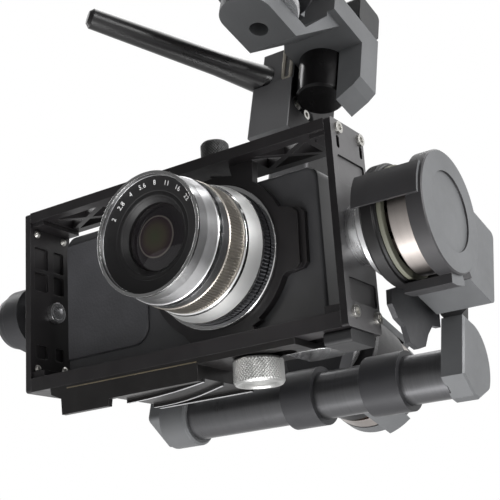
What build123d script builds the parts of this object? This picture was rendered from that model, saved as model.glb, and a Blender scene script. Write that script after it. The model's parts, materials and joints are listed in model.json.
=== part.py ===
"""Three-axis brushless camera gimbal that carries a compact cinema camera with a prime lens.

Millimetres, +Z up. The origin is the centre of the mounting face on top, on the pan axis.
The lens looks towards -Y and the tilt motor is on the +X side.
The rest position holds the camera cage nose-down by REST_TILT.
"""
from build123d import *
import math
import os

os.makedirs("parts", exist_ok=True)

# ---- axes ----
HANG = 202.0            # mounting face above the tilt and roll axes
REST_TILT = 16.0        # nose-down angle of the cage at rest
CAGE_X = -20.0          # middle of the cage, from the pan axis
CAGE_AXIS_Y = 15.1      # tilt axis behind the cage's front face
CAGE_AXIS_Z = -3.5      # tilt axis from the middle of the cage's height

# ---- cage ----
CAGE_W = 160.0
CAGE_TOP = 40.5
CAGE_BOTTOM = -41.0
CAGE_D = 25.3
CHEEK_T = 3.0
TOP_T = 4.5
BOTTOM_T = 5.0
INNER_X = CAGE_W / 2 - CHEEK_T

# ---- camera and lens ----
CAM_LEFT, CAM_RIGHT = -65.0, 66.0
CAM_FRONT, CAM_BACK = 10.6, 46.0
CAM_TOP = 28.0
CAM_BOTTOM = CAGE_BOTTOM + BOTTOM_T
LENS_X, LENS_Z = 19.0, -0.5
LENS_FRONT = -36.5
FRONT_R = 24.1
GREY_RING_R = 25.2
FOCUS_R = 25.6
FOCUS_FRONT, FOCUS_BACK = -19.0, -9.6
TAPER_BACK = 0.2
TAPER_R = 27.85
SERRATED_R = 27.3
LENS_MOUNT_R = 29.75
LENS_FLANGE_R = 28.0

# ---- motors: the roll and pan motors share these ring sizes ----
MOTOR_R = 24.0
BELL_R = 23.0
CAP_R = 23.2
CAP_RECESS_R = 15.2
CLAW_R = 26.6
HUB_R = 18.0
SHAFT_R = 3.0
BEARING_R = 6.0
BELL_L = 7.95
CAP_L = 6.5
GAP = 0.5               # axial gap between turning and standing rings
RUN = 0.04              # radial running clearance
SNUG = 0.02             # radial gap of a pressed or glued seat
SCREW_R = 1.25

# ---- roll frame ----
TUBE_R = 10.0
TUBE_WALL = 1.5
TUBE_Y, TUBE_Z = 62.0, -32.0
TUBE_LEFT, TUBE_RIGHT = -70.0, 69.2
COLLAR_R = 12.5

# ---- pan arm ----
COLUMN_X = (-47.0, -22.0)
NECK_X = (-43.5, -22.6)
COLUMN_TOP = 176.0
DECK_Z = 163.0
HUB_TOP = 152.0

# ---- top bracket ----
PLATE_T = 3.5
DAMPER_H = 12.0
BRACKET_HALF = 42.0
BOLT_X, BOLT_Y = 60.0, 60.0
BOLT_R = 1.6

GIMBAL = Location((0, 0, -HANG))
CAGE = (
    Location((CAGE_X, 0, -HANG), (REST_TILT, 0, 0))
    * Location((0, -CAGE_AXIS_Y, -CAGE_AXIS_Z))
)
UP = (Align.CENTER, Align.CENTER, Align.MIN)


def within(space, plane):
    """A plane given in a space's own coordinates, as a plane of the model."""
    return Plane(space * plane.location)


def front(space, y):
    """Upright plane across the lens direction at depth y. It faces -Y; sketch axes are X and Z."""
    return within(space, Plane.XZ.offset(-y))


def side(space, x):
    """Upright plane at x, facing +X. Sketch axes are Y and Z."""
    return within(space, Plane.YZ.offset(x))


def level(space, z):
    """Level plane at height z, facing up. Sketch axes are X and Y."""
    return within(space, Plane.XY.offset(z))


def turned(place, *profiles):
    """Solid of revolution about place's normal. A profile lists (radius, distance along it)."""
    section = Plane(place.origin, x_dir=place.x_dir, z_dir=-place.y_dir)
    with BuildPart() as piece:
        for profile in profiles:
            with BuildSketch(section):
                with BuildLine():
                    Polyline(*profile, close=True)
                make_face()
            revolve(axis=Axis(place.origin, place.z_dir))
    return piece


def block(space, low, high, rounding=0.0, along=Axis.X):
    """Box between two corners of a space, with the edges along one of its axes rounded."""
    size = [b - a for a, b in zip(low, high)]
    middle = [(a + b) / 2 for a, b in zip(low, high)]
    with BuildPart() as local:
        with Locations(tuple(middle)):
            Box(*size)
        if rounding:
            fillet(local.edges().filter_by(along), rounding)
    with BuildPart() as piece:
        add(space * local.part)
    return piece


def link(plane, end_a, r_a, end_b, r_b, thickness):
    """Flat bar with round ends of two sizes and straight sides tangent to both."""
    with BuildPart() as piece:
        with BuildSketch(plane):
            with Locations(end_a):
                Circle(r_a)
            with Locations(end_b):
                Circle(r_b)
            make_hull()
        extrude(amount=thickness)
    return piece


# ======================================================================================
# Motors. Along the axis, from the driven side: flange and shaft, base, bell, cap.
# ======================================================================================

TILT_MOTOR = within(GIMBAL, Plane(origin=(60, 0, 0), x_dir=(0, 1, 0), z_dir=(1, 0, 0)))
ROLL_MOTOR = within(GIMBAL, Plane(origin=(0, 74, 0), x_dir=(1, 0, 0), z_dir=(0, 1, 0)))
PAN_MOTOR = within(GIMBAL, Plane(origin=(0, 0, 139), x_dir=(1, 0, 0), z_dir=(0, 0, 1)))


class Motor:
    """Distances of one motor's rings along its axis, from the face that it drives."""

    def __init__(
        self, place, base_start, base_l, bell_gap=2.4,
        ring_r=MOTOR_R, bell_r=BELL_R, shaft_r=SHAFT_R, bearing_r=BEARING_R,
    ):
        self.place = place
        self.base_start = base_start
        self.base_end = base_start + base_l
        self.bell_start = self.base_end + bell_gap
        self.bell_end = self.bell_start + BELL_L
        self.cap_start = self.bell_end + GAP
        self.cap_end = self.cap_start + CAP_L
        self.ring_r = ring_r
        self.bell_r = bell_r
        self.shaft_r = shaft_r
        self.bearing_r = bearing_r


def rotor_shaft(motor, flange_l, bore_r=0.0):
    """Driven flange with the shaft that carries the bell, turned in one piece."""
    neck_r = motor.bearing_r + 2
    end = motor.bell_end
    return turned(
        motor.place,
        [
            (bore_r, 0), (HUB_R - 0.6, 0), (HUB_R, 0.6), (HUB_R, flange_l - 0.6),
            (HUB_R - 0.6, flange_l), (neck_r, flange_l), (neck_r, motor.base_start - GAP),
            (motor.shaft_r, motor.base_start - GAP), (motor.shaft_r, end), (bore_r, end),
        ],
    )


def motor_base(motor):
    """Standing ring: an outer wall, a web, and a sleeve that holds the bearings."""
    a, b, tip = motor.base_start, motor.base_end, motor.bell_end - 1.8
    seat, sleeve, r = motor.bearing_r, motor.bearing_r + 2.4, motor.ring_r
    return turned(
        motor.place,
        [
            (seat, a), (r - 1, a), (r, a + 1), (r, b - 1.4), (r - 0.9, b - 1),
            (r - 0.9, b), (r - 3, b), (r - 3, a + 2), (sleeve, a + 2), (sleeve, tip),
            (seat, tip),
        ],
    )


def motor_bearings(motor):
    """Two ball bearings, one at each end of the sleeve."""
    bore, rim = motor.shaft_r + RUN, motor.bearing_r - SNUG
    race = 3.0
    starts = (motor.base_start + 0.2, motor.bell_end - 1.9 - race)
    return turned(
        motor.place,
        *[[(bore, s), (rim, s), (rim, s + race), (bore, s + race)] for s in starts],
    )


def motor_stator(motor):
    """Laminated core with twelve teeth on the bearing sleeve."""
    sleeve = motor.bearing_r + 2.4 + SNUG
    bottom, height = motor.base_end - 4.5, 10.0
    core_r, tooth_r = sleeve + 2.2, motor.bell_r - 3
    with BuildPart() as stator:
        with BuildSketch(motor.place.offset(bottom)):
            Circle(core_r)
            with PolarLocations((core_r + tooth_r) / 2 - 0.5, 12):
                Rectangle(tooth_r - core_r + 1, 2.2)
            with PolarLocations(tooth_r - 0.4, 12):
                Rectangle(1.6, 6.4)
            Circle(sleeve, mode=Mode.SUBTRACT)
        extrude(amount=height)
    return stator


def motor_bell(motor):
    """Turning cup over the stator, closed at the far end and pressed onto the shaft."""
    a, b, r = motor.bell_start, motor.bell_end, motor.bell_r
    return turned(
        motor.place,
        [
            (r - 1.6, a), (r, a), (r, b - 0.4), (r - 0.4, b), (motor.shaft_r + SNUG, b),
            (motor.shaft_r + SNUG, b - 1.2), (r - 1.6, b - 1.2),
        ],
    )


def sector(middle, width, radius):
    """Pie slice of a circle, to add to a sketch."""
    turns = [math.radians(middle + k * width / 2) for k in (-1, 0, 1)]
    rim = [(radius * math.cos(turn), radius * math.sin(turn)) for turn in turns]
    with BuildSketch() as slice_sketch:
        with BuildLine():
            ThreePointArc(*rim)
            Line(rim[2], (0, 0))
            Line((0, 0), rim[0])
        make_face()
    return slice_sketch.sketch_local


def motor_cap(motor, claws, recess=0.8):
    """End cap held over the bell by claws. A claw is (middle angle, width, radius, start)."""
    a, b = motor.cap_start, motor.cap_end
    with BuildPart() as cap:
        with BuildSketch(motor.place.offset(a)):
            Circle(CAP_R)
        extrude(amount=b - a)
        chamfer(cap.faces().sort_by(Axis(motor.place.origin, motor.place.z_dir))[-1].edges(), 0.5)
        for middle, width, radius, start in claws:
            with BuildSketch(motor.place.offset(start)):
                add(sector(middle, width, radius))
                Circle(motor.ring_r + 0.05, mode=Mode.SUBTRACT)
            extrude(amount=b - 1.5 - start)
            with BuildSketch(motor.place.offset(a)):
                add(sector(middle, width, motor.ring_r + 0.5))
                Circle(CAP_R - 2, mode=Mode.SUBTRACT)
            extrude(amount=b - 1.5 - a)
        with BuildSketch(motor.place.offset(b)):
            Circle(CAP_RECESS_R)
        extrude(amount=-recess, mode=Mode.SUBTRACT)
    return cap


tilt = Motor(TILT_MOTOR, 12.0, 6.6, bell_gap=3.8, ring_r=23.3, bell_r=20.6)
roll = Motor(ROLL_MOTOR, 6.0, 28.0)
pan = Motor(PAN_MOTOR, 13.5, 12.0, shaft_r=6.0, bearing_r=9.0)

# ---- tilt motor: drives the cage's right cheek, held by the roll frame ----

TILT_HUB_START = 7.4
tilt_rotor_shaft = turned(
    TILT_MOTOR,
    [
        (0, 0), (12, 0), (12, TILT_HUB_START), (HUB_R - 0.6, TILT_HUB_START),
        (HUB_R, TILT_HUB_START + 0.6), (HUB_R, tilt.base_start - GAP - 0.6),
        (HUB_R - 0.6, tilt.base_start - GAP), (SHAFT_R, tilt.base_start - GAP),
        (SHAFT_R, tilt.bell_end), (0, tilt.bell_end),
    ],
)
tilt_rotor_shaft.part.label = "tilt_rotor_shaft"
export_step(tilt_rotor_shaft.part, "parts/tilt_rotor_shaft.step")

tilt_motor_base = motor_base(tilt)
tilt_motor_base.part.label = "tilt_motor_base"
export_step(tilt_motor_base.part, "parts/tilt_motor_base.step")

tilt_bearings = motor_bearings(tilt)
tilt_bearings.part.label = "tilt_bearings"
export_step(tilt_bearings.part, "parts/tilt_bearings.step")

tilt_stator = motor_stator(tilt)
tilt_stator.part.label = "tilt_stator"
export_step(tilt_stator.part, "parts/tilt_stator.step")

BOARD_R = (18.8, 21.8)
BOARD_Z = (tilt.base_end + 0.1, tilt.base_end + 1.8)
tilt_winding_board = turned(
    TILT_MOTOR,
    [
        (BOARD_R[0], BOARD_Z[0]), (BOARD_R[1], BOARD_Z[0]),
        (BOARD_R[1], BOARD_Z[1]), (BOARD_R[0], BOARD_Z[1]),
    ],
)
tilt_winding_board.part.label = "tilt_winding_board"
export_step(tilt_winding_board.part, "parts/tilt_winding_board.step")

tilt_motor_bell = motor_bell(tilt)
tilt_motor_bell.part.label = "tilt_motor_bell"
export_step(tilt_motor_bell.part, "parts/tilt_motor_bell.step")

TILT_CLAWS = [(175, 34, 24.3, 9.8), (-68, 24, 27.0, 17.0), (-8, 60, CLAW_R, 13.0)]
tilt_motor_cap = motor_cap(tilt, TILT_CLAWS)
tilt_motor_cap.part.label = "tilt_motor_cap"
export_step(tilt_motor_cap.part, "parts/tilt_motor_cap.step")

# ---- roll motor: turns the roll frame, held by the pan arm's column ----

roll_rotor_shaft = rotor_shaft(roll, 4.0)
roll_rotor_shaft.part.label = "roll_rotor_shaft"
export_step(roll_rotor_shaft.part, "parts/roll_rotor_shaft.step")

roll_motor_base = motor_base(roll)
roll_motor_base.part.label = "roll_motor_base"
export_step(roll_motor_base.part, "parts/roll_motor_base.step")

roll_bearings = motor_bearings(roll)
roll_bearings.part.label = "roll_bearings"
export_step(roll_bearings.part, "parts/roll_bearings.step")

roll_stator = motor_stator(roll)
roll_stator.part.label = "roll_stator"
export_step(roll_stator.part, "parts/roll_stator.step")

roll_motor_bell = motor_bell(roll)
roll_motor_bell.part.label = "roll_motor_bell"
export_step(roll_motor_bell.part, "parts/roll_motor_bell.step")

ROLL_CLAWS = [(a, w, CLAW_R, roll.base_start + 1) for a, w in ((180, 50), (60, 26), (-60, 26))]
roll_motor_cap = motor_cap(roll, ROLL_CLAWS)
roll_motor_cap.part.label = "roll_motor_cap"
export_step(roll_motor_cap.part, "parts/roll_motor_cap.step")

# ---- pan motor: turns the whole gimbal under the bracket ----

SLIP_RING_R = 4.2
pan_rotor_shaft = rotor_shaft(pan, 4.0, bore_r=SLIP_RING_R + 0.3)
pan_rotor_shaft.part.label = "pan_rotor_shaft"
export_step(pan_rotor_shaft.part, "parts/pan_rotor_shaft.step")

pan_motor_base = motor_base(pan)
pan_motor_base.part.label = "pan_motor_base"
export_step(pan_motor_base.part, "parts/pan_motor_base.step")

pan_bearings = motor_bearings(pan)
pan_bearings.part.label = "pan_bearings"
export_step(pan_bearings.part, "parts/pan_bearings.step")

pan_stator = motor_stator(pan)
pan_stator.part.label = "pan_stator"
export_step(pan_stator.part, "parts/pan_stator.step")

pan_motor_bell = motor_bell(pan)
pan_motor_bell.part.label = "pan_motor_bell"
export_step(pan_motor_bell.part, "parts/pan_motor_bell.step")

PAN_CLAWS = [(angle, 30, CLAW_R, pan.base_start + 1) for angle in (90, 210, 330)]
pan_motor_cap = motor_cap(pan, PAN_CLAWS, recess=2.0)
pan_motor_cap.part.label = "pan_motor_cap"
export_step(pan_motor_cap.part, "parts/pan_motor_cap.step")

with BuildPart() as pan_slip_ring:
    with BuildSketch(PAN_MOTOR.offset(pan.base_start - 6)):
        Circle(SLIP_RING_R)
    extrude(amount=pan.cap_start - pan.base_start + 6)
pan_slip_ring.part.label = "pan_slip_ring"
export_step(pan_slip_ring.part, "parts/pan_slip_ring.step")

# ======================================================================================
# Top bracket: the plate bolted to the carrier, four dampers and the damped plate.
# ======================================================================================

DAMPED_TOP = HANG - PLATE_T - DAMPER_H
CAP_TOP = 139 + pan.cap_end
DAMPER_AT = 33.0


def bracket_plate(z, thickness, window_r):
    """Square plate with cut-away flanks between its four damper corners and a middle window."""
    with BuildPart() as plate:
        with BuildSketch(level(GIMBAL, z)):
            RectangleRounded(2 * BRACKET_HALF, 2 * BRACKET_HALF, 8)
            with Locations((BRACKET_HALF + 22, 0), (-BRACKET_HALF - 22, 0)):
                Circle(34, mode=Mode.SUBTRACT)
            if window_r:
                Circle(window_r, mode=Mode.SUBTRACT)
        extrude(amount=thickness)
    return plate


with BuildPart() as mount_plate:
    add(bracket_plate(HANG - PLATE_T, PLATE_T, 0).part)
    with Locations(level(GIMBAL, HANG - PLATE_T)):
        with GridLocations(BOLT_X, BOLT_Y, 2, 2):
            Cylinder(BOLT_R, 2 * PLATE_T + 2, mode=Mode.SUBTRACT)
mount_plate.part.label = "mount_plate"
export_step(mount_plate.part, "parts/mount_plate.step")

with BuildPart() as damper_plate:
    add(bracket_plate(CAP_TOP, DAMPED_TOP - CAP_TOP, 0).part)
damper_plate.part.label = "damper_plate"
export_step(damper_plate.part, "parts/damper_plate.step")

with BuildPart() as vibration_dampers:
    for x in (-DAMPER_AT + 12, DAMPER_AT - 12):
        for y in (-DAMPER_AT, DAMPER_AT):
            seat = level(GIMBAL * Location((x, y, 0)), DAMPED_TOP)
            h = DAMPER_H
            profile = [(0, 0), (4, 0), (4, 1.5), (6, 3.5), (6.8, h / 2), (6, h - 3.5), (4, h - 1.5)]
            add(turned(seat, profile + [(4, h), (0, h)]).part)
vibration_dampers.part.label = "vibration_dampers"
export_step(vibration_dampers.part, "parts/vibration_dampers.step")

# ======================================================================================
# Pan arm: from under the pan motor back and up to a deck, then down a column to the roll motor.
# ======================================================================================

ARM_HALF = 13.0
DECK_RIGHT = 17.0
DECK_FRONT, DECK_BACK = 36.0, 80.0
GUSSET_LEFT, GUSSET_FRONT = 3.6, 64.0

with BuildPart() as pan_arm:
    with BuildSketch(side(GIMBAL, -ARM_HALF)):
        with BuildLine():
            Polyline(
                (-22, 128), (12, 128), (48, DECK_Z), (DECK_FRONT + 14, COLUMN_TOP),
                (DECK_FRONT, COLUMN_TOP), (DECK_FRONT, DECK_Z - 3), (19, 139), (-22, 139),
                close=True,
            )
        make_face()
    extrude(amount=2 * ARM_HALF)
    with BuildSketch(level(GIMBAL, DECK_Z)):
        with BuildLine():
            Polyline(
                (-ARM_HALF, DECK_FRONT), (DECK_RIGHT, DECK_FRONT), (DECK_RIGHT, DECK_BACK),
                (NECK_X[1], DECK_BACK), (NECK_X[1], DECK_FRONT + 16), close=True,
            )
        make_face()
    extrude(amount=COLUMN_TOP - DECK_Z)
    nose = pan_arm.edges().filter_by(Axis.Z).group_by(Axis.Y)[0]
    fillet(nose, 12)
    with BuildSketch(front(GIMBAL, DECK_BACK)):
        Polygon(
            (GUSSET_LEFT, 131), (13, 137), (DECK_RIGHT, 141), (DECK_RIGHT, DECK_Z),
            (GUSSET_LEFT, DECK_Z), align=None,
        )
    extrude(amount=DECK_BACK - GUSSET_FRONT)
    with Locations(level(GIMBAL, 128)):
        Cylinder(SLIP_RING_R + 0.3, 40, mode=Mode.SUBTRACT)
pan_arm.part.label = "pan_arm"
export_step(pan_arm.part, "parts/pan_arm.step")

HEAD_Y = (60.0, 105.0)
HEAD_Z = (121.0, 153.0)
NECK_Y = (62.0, 104.0)
STEM_Y = (80.5, 104.0)
SLOT_Z = 140.0
SLOT_Y = (63.0, 83.0)
SLOT_DEPTH = 3.2
SLOT_SCREWS = (68.0, 77.4)


def cap_screw(place, head_r, head_l, shank_r, shank_l):
    """Socket-head screw. place lies under the head and faces out of the joint."""
    with BuildPart() as screw:
        with BuildSketch(place):
            Circle(head_r)
        extrude(amount=head_l)
        with BuildSketch(place):
            Circle(shank_r - SNUG)
        extrude(amount=-shank_l)
        with BuildSketch(place.offset(head_l)):
            RegularPolygon(head_r * 0.55, 6)
        extrude(amount=-head_l * 0.6, mode=Mode.SUBTRACT)
    return screw.part


def slot_screw_place(y):
    """Floor of the column's balance slot at depth y, facing out of the slot."""
    floor = (COLUMN_X[1] - SLOT_DEPTH, y, SLOT_Z)
    return within(GIMBAL, Plane(origin=floor, x_dir=(0, 1, 0), z_dir=(1, 0, 0)))


with BuildPart() as arm_column:
    stem = (COLUMN_X[0], STEM_Y[0], -16), (COLUMN_X[1], STEM_Y[1], HEAD_Z[0])
    head = (COLUMN_X[0], HEAD_Y[0], HEAD_Z[0]), (COLUMN_X[1], HEAD_Y[1], HEAD_Z[1])
    neck = (NECK_X[0], NECK_Y[0], HEAD_Z[1]), (NECK_X[1], NECK_Y[1], COLUMN_TOP)
    add(block(GIMBAL, *stem, 2.5, Axis.Z).part)
    add(block(GIMBAL, *head, 0.8, Axis.Z).part)
    add(block(GIMBAL, *neck, 0.8, Axis.Z).part)
    with BuildSketch(ROLL_MOTOR):
        Circle(CLAW_R + 0.05)
    extrude(amount=60, mode=Mode.SUBTRACT)
    with BuildSketch(side(GIMBAL, COLUMN_X[1])):
        with Locations(((SLOT_Y[0] + SLOT_Y[1]) / 2, SLOT_Z)):
            SlotOverall(SLOT_Y[1] - SLOT_Y[0], 6.4)
    extrude(amount=-SLOT_DEPTH, mode=Mode.SUBTRACT)
    for y in SLOT_SCREWS:
        with BuildSketch(slot_screw_place(y)):
            Circle(1.5)
        extrude(amount=-8, mode=Mode.SUBTRACT)
arm_column.part.label = "arm_column"
export_step(arm_column.part, "parts/arm_column.step")

with BuildPart() as column_screws:
    for y in SLOT_SCREWS:
        add(cap_screw(slot_screw_place(y), 2.7, 2.6, 1.5, 7))
column_screws.part.label = "column_screws"
export_step(column_screws.part, "parts/column_screws.step")

CANISTER_R = 12.6
CANISTER_AT = (COLUMN_X[1] + CANISTER_R + 0.1, 69.0)
with BuildPart() as wiring_canister:
    add(
        turned(
            level(GIMBAL * Location((*CANISTER_AT, 0)), 139),
            [
                (0, 0), (CANISTER_R - 1, 0), (CANISTER_R, 1),
                (CANISTER_R, DECK_Z - 139), (0, DECK_Z - 139),
            ],
        ).part
    )
wiring_canister.part.label = "wiring_canister"
export_step(wiring_canister.part, "parts/wiring_canister.step")

with BuildPart() as control_module:
    low, high = (COLUMN_X[1] + 1, 60, COLUMN_TOP), (DECK_RIGHT, DECK_BACK, COLUMN_TOP + 17)
    add(block(GIMBAL, low, high, 3, Axis.X).part)
control_module.part.label = "control_module"
export_step(control_module.part, "parts/control_module.step")

DUCT_L = 98.0
DUCT_BOOT_L = 26.0
DUCT_R = (8.0, 6.4, 5.4)
DUCT_Z = 161.2
DUCT_TURN = 32.0
DUCT_ROOT = (NECK_X[0] - 0.5, NECK_Y[0] + 1)
duct_way = (-math.sin(math.radians(DUCT_TURN)), -math.cos(math.radians(DUCT_TURN)), 0)
duct_place = within(
    GIMBAL, Plane(origin=(*DUCT_ROOT, DUCT_Z), x_dir=(0, 0, 1), z_dir=duct_way)
)
with BuildPart() as cable_duct:
    root_r, boot_r, tip_r = DUCT_R
    profile = [
        (0, -6), (root_r, -6), (root_r, 0), (boot_r, DUCT_BOOT_L),
        (tip_r, DUCT_L - 2), (tip_r - 2, DUCT_L), (0, DUCT_L),
    ]
    add(turned(duct_place, profile).part)
    low = (NECK_X[0] - 0.1, NECK_Y[0] - 0.1, HEAD_Z[1])
    add(block(GIMBAL, low, (0, HEAD_Y[1], COLUMN_TOP)).part, mode=Mode.SUBTRACT)
cable_duct.part.label = "cable_duct"
export_step(cable_duct.part, "parts/cable_duct.step")

# ======================================================================================
# Roll frame: bracket on the roll motor, cross tube behind the cage, an arm on each side.
# ======================================================================================

BRACKET_Y = (66.0, 74.0)
CLAMP_X = (-5.0, 10.0)
tube_mid = sum(CLAMP_X) / 2


def tube_circle(radius):
    """Circle about the cross tube, for a sketch whose axes are Y and Z."""
    with Locations((TUBE_Y, TUBE_Z)):
        Circle(radius)


with BuildPart() as roll_bracket:
    with BuildSketch(front(GIMBAL, BRACKET_Y[1])):
        Circle(HUB_R - 1)
        with Locations((tube_mid, TUBE_Z)):
            Rectangle(CLAMP_X[1] - CLAMP_X[0], 8)
        make_hull()
    extrude(amount=BRACKET_Y[1] - BRACKET_Y[0])
    with BuildSketch(side(GIMBAL, CLAMP_X[0])):
        tube_circle(COLLAR_R)
    extrude(amount=CLAMP_X[1] - CLAMP_X[0])
    with BuildSketch(side(GIMBAL, CLAMP_X[0] - 40)):
        tube_circle(TUBE_R + SNUG)
    extrude(amount=100, mode=Mode.SUBTRACT)
roll_bracket.part.label = "roll_bracket"
export_step(roll_bracket.part, "parts/roll_bracket.step")

with BuildPart() as roll_tube:
    with BuildSketch(side(GIMBAL, TUBE_LEFT)):
        with Locations((TUBE_Y, TUBE_Z)):
            Circle(TUBE_R)
            Circle(TUBE_R - TUBE_WALL, mode=Mode.SUBTRACT)
    extrude(amount=TUBE_RIGHT - TUBE_LEFT)
roll_tube.part.label = "roll_tube"
export_step(roll_tube.part, "parts/roll_tube.step")

with BuildPart() as tube_collar:
    with BuildSketch(side(GIMBAL, 33)):
        tube_circle(COLLAR_R)
        with Locations((TUBE_Y, TUBE_Z)):
            Circle(TUBE_R + SNUG, mode=Mode.SUBTRACT)
    extrude(amount=17)
tube_collar.part.label = "tube_collar"
export_step(tube_collar.part, "parts/tube_collar.step")

ELBOW_X = (68.6, 78.4)
ELBOW_FRONT, ELBOW_TOP = 51.8, -12.4
with BuildPart() as right_elbow:
    with BuildSketch(side(GIMBAL, ELBOW_X[0])):
        with BuildLine():
            Polyline(
                (58, ELBOW_TOP), (ELBOW_FRONT, ELBOW_TOP), (ELBOW_FRONT, -38), (62, -43),
                (66.5, -42.8), (76.4, -34.8),
            )
            ThreePointArc((76.4, -34.8), (75.6, -22), (58, ELBOW_TOP))
        make_face()
    extrude(amount=ELBOW_X[1] - ELBOW_X[0])
    outer = right_elbow.faces().sort_by(Axis.X)[-1]
    chamfer(outer.edges(), 0.8)
    with BuildSketch(side(GIMBAL, ELBOW_X[0])):
        tube_circle(TUBE_R + SNUG)
    extrude(amount=TUBE_RIGHT + 0.2 - ELBOW_X[0], mode=Mode.SUBTRACT)
right_elbow.part.label = "right_elbow"
export_step(right_elbow.part, "parts/right_elbow.step")

ARM_X = (72.0, 95.0)
ARM_Y = (17.0, 43.0)
ARM_Z = (-16.5, 15.0)
with BuildPart() as tilt_arm_housing:
    low, high = (ARM_X[0], ARM_Y[0], ARM_Z[0]), (ARM_X[1], ARM_Y[1], ARM_Z[1])
    add(block(GIMBAL, low, high, 2.5, Axis.X).part)
    with BuildSketch(TILT_MOTOR):
        Circle(CLAW_R + 0.05)
    extrude(amount=60, mode=Mode.SUBTRACT)
tilt_arm_housing.part.label = "tilt_arm_housing"
export_step(tilt_arm_housing.part, "parts/tilt_arm_housing.step")

LINK_H = 9.5
with BuildPart() as right_arm_link:
    with BuildSketch(level(GIMBAL, ELBOW_TOP)):
        Polygon(
            (ARM_X[0] + 0.6, ARM_Y[1]), (ARM_X[0] + 15, ARM_Y[1]), (ELBOW_X[1] - 1, ELBOW_FRONT),
            (ELBOW_X[1] - 1, 58), (ELBOW_X[0] + 1, 58), (ELBOW_X[0] + 1, 49), align=None,
        )
    extrude(amount=LINK_H)
    top = right_arm_link.faces().sort_by(Axis.Z)[-1]
    chamfer(top.edges(), 0.8)
right_arm_link.part.label = "right_arm_link"
export_step(right_arm_link.part, "parts/right_arm_link.step")

PLATE_X = (-80.0, TUBE_LEFT)
BAR_Y = (54.0, 72.0)
BAR_Z = (-11.0, 11.0)
BAR_BOLTS = [(58.5, 4), (67.5, 4)]
with BuildPart() as left_elbow:
    with BuildSketch(side(GIMBAL, PLATE_X[0])):
        Polygon((54, 12), (54, -33), (73, -40), (76, -34), (76, 12), align=None)
    extrude(amount=PLATE_X[1] - PLATE_X[0])
    upright = left_elbow.edges().filter_by(Axis.X)
    fillet(upright, 2.5)
    with BuildSketch(side(GIMBAL, PLATE_X[1])):
        tube_circle(COLLAR_R)
    extrude(amount=14)
    chamfer(left_elbow.faces().sort_by(Axis.X)[-1].edges(), 1)
    with BuildSketch(side(GIMBAL, TUBE_LEFT - 0.2)):
        tube_circle(TUBE_R + SNUG)
    extrude(amount=20, mode=Mode.SUBTRACT)
    for y, z in BAR_BOLTS:
        with BuildSketch(side(GIMBAL * Location((0, y, z)), PLATE_X[1])):
            Circle(SCREW_R)
        extrude(amount=-12, mode=Mode.SUBTRACT)
left_elbow.part.label = "left_elbow"
export_step(left_elbow.part, "parts/left_elbow.step")

PIVOT_R = 5.0
ARM_LEFT = -117.0
LEFT_ARM_T = 10.0
BOSS_R = 14.0
boss_place = within(
    GIMBAL, Plane(origin=(ARM_LEFT, 0, 0), x_dir=(0, 1, 0), z_dir=(-1, 0, 0))
)
with BuildPart() as left_arm:
    arm_plane = side(GIMBAL, ARM_LEFT)
    add(link(arm_plane, (0, 0), BOSS_R, (61, 0), 11, LEFT_ARM_T).part)
    chamfer(left_arm.faces().sort_by(Axis.X)[0].edges(), 1.2)
    low, high = (ARM_LEFT + 6, BAR_Y[0], BAR_Z[0]), (PLATE_X[0], BAR_Y[1], BAR_Z[1])
    add(block(GIMBAL, low, high, 3, Axis.X).part)
    with BuildSketch(arm_plane):
        Circle(PIVOT_R + RUN)
    extrude(amount=LEFT_ARM_T, mode=Mode.SUBTRACT)
    for y, z in BAR_BOLTS:
        with BuildSketch(side(GIMBAL * Location((0, y, z)), PLATE_X[0])):
            Circle(SCREW_R)
        extrude(amount=-7, mode=Mode.SUBTRACT)
left_arm.part.label = "left_arm"
export_step(left_arm.part, "parts/left_arm.step")

left_bearing_housing = turned(
    boss_place,
    [
        (PIVOT_R + RUN, 0), (BOSS_R - 1.4, 0), (BOSS_R - 1.4, 2.2), (BOSS_R - 2.2, 4.8),
        (BOSS_R - 4.5, 7), (BOSS_R - 8, 8.3), (0, 8.8), (0, 6.2), (PIVOT_R + RUN, 6.2),
    ],
)
left_bearing_housing.part.label = "left_bearing_housing"
export_step(left_bearing_housing.part, "parts/left_bearing_housing.step")

with BuildPart() as arm_screws:
    for y, z in BAR_BOLTS:
        spot = GIMBAL * Location((0, y, z))
        add(cap_screw(side(spot, PLATE_X[1]), 2.4, 1.4, SCREW_R, 16))
arm_screws.part.label = "arm_screws"
export_step(arm_screws.part, "parts/arm_screws.step")

# ======================================================================================
# Camera cage: two slotted plates between two cheeks, tilted with the camera.
# ======================================================================================

CHEEK_SCREWS = [(5, 37.0), (22, 37.0), (5.6, -34.8), (22.4, -34.8)]
END_BLOCK = 7.0


def screw_bores(depth):
    """Cutters for the cheek screws' holes at both ends of the cage."""
    with BuildPart() as cutters:
        for y, z in CHEEK_SCREWS:
            for x, way in ((-CAGE_W / 2, 1), (CAGE_W / 2, -1)):
                with BuildSketch(side(CAGE * Location((0, y, z)), x)):
                    Circle(SCREW_R)
                extrude(amount=way * depth)
    return cutters.part


def plate_bore(x, y, z, radius, depth):
    """Cutter for a round hole going down into the cage from height z."""
    with BuildPart() as cutter:
        with BuildSketch(level(CAGE * Location((x, y, 0)), z)):
            Circle(radius)
        extrude(amount=-depth)
    return cutter.part


KNOB_AT = (18.0, 12.0)
KNOB_STEM_R = 2.5
THUMB_AT = (34.0, 10.0)
THUMB_STEM_R = 3.1
BAYS = [(-54, 13, 30, 16), (52, 13, 26, 16), (-14, 13, 34, 13)]

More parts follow.
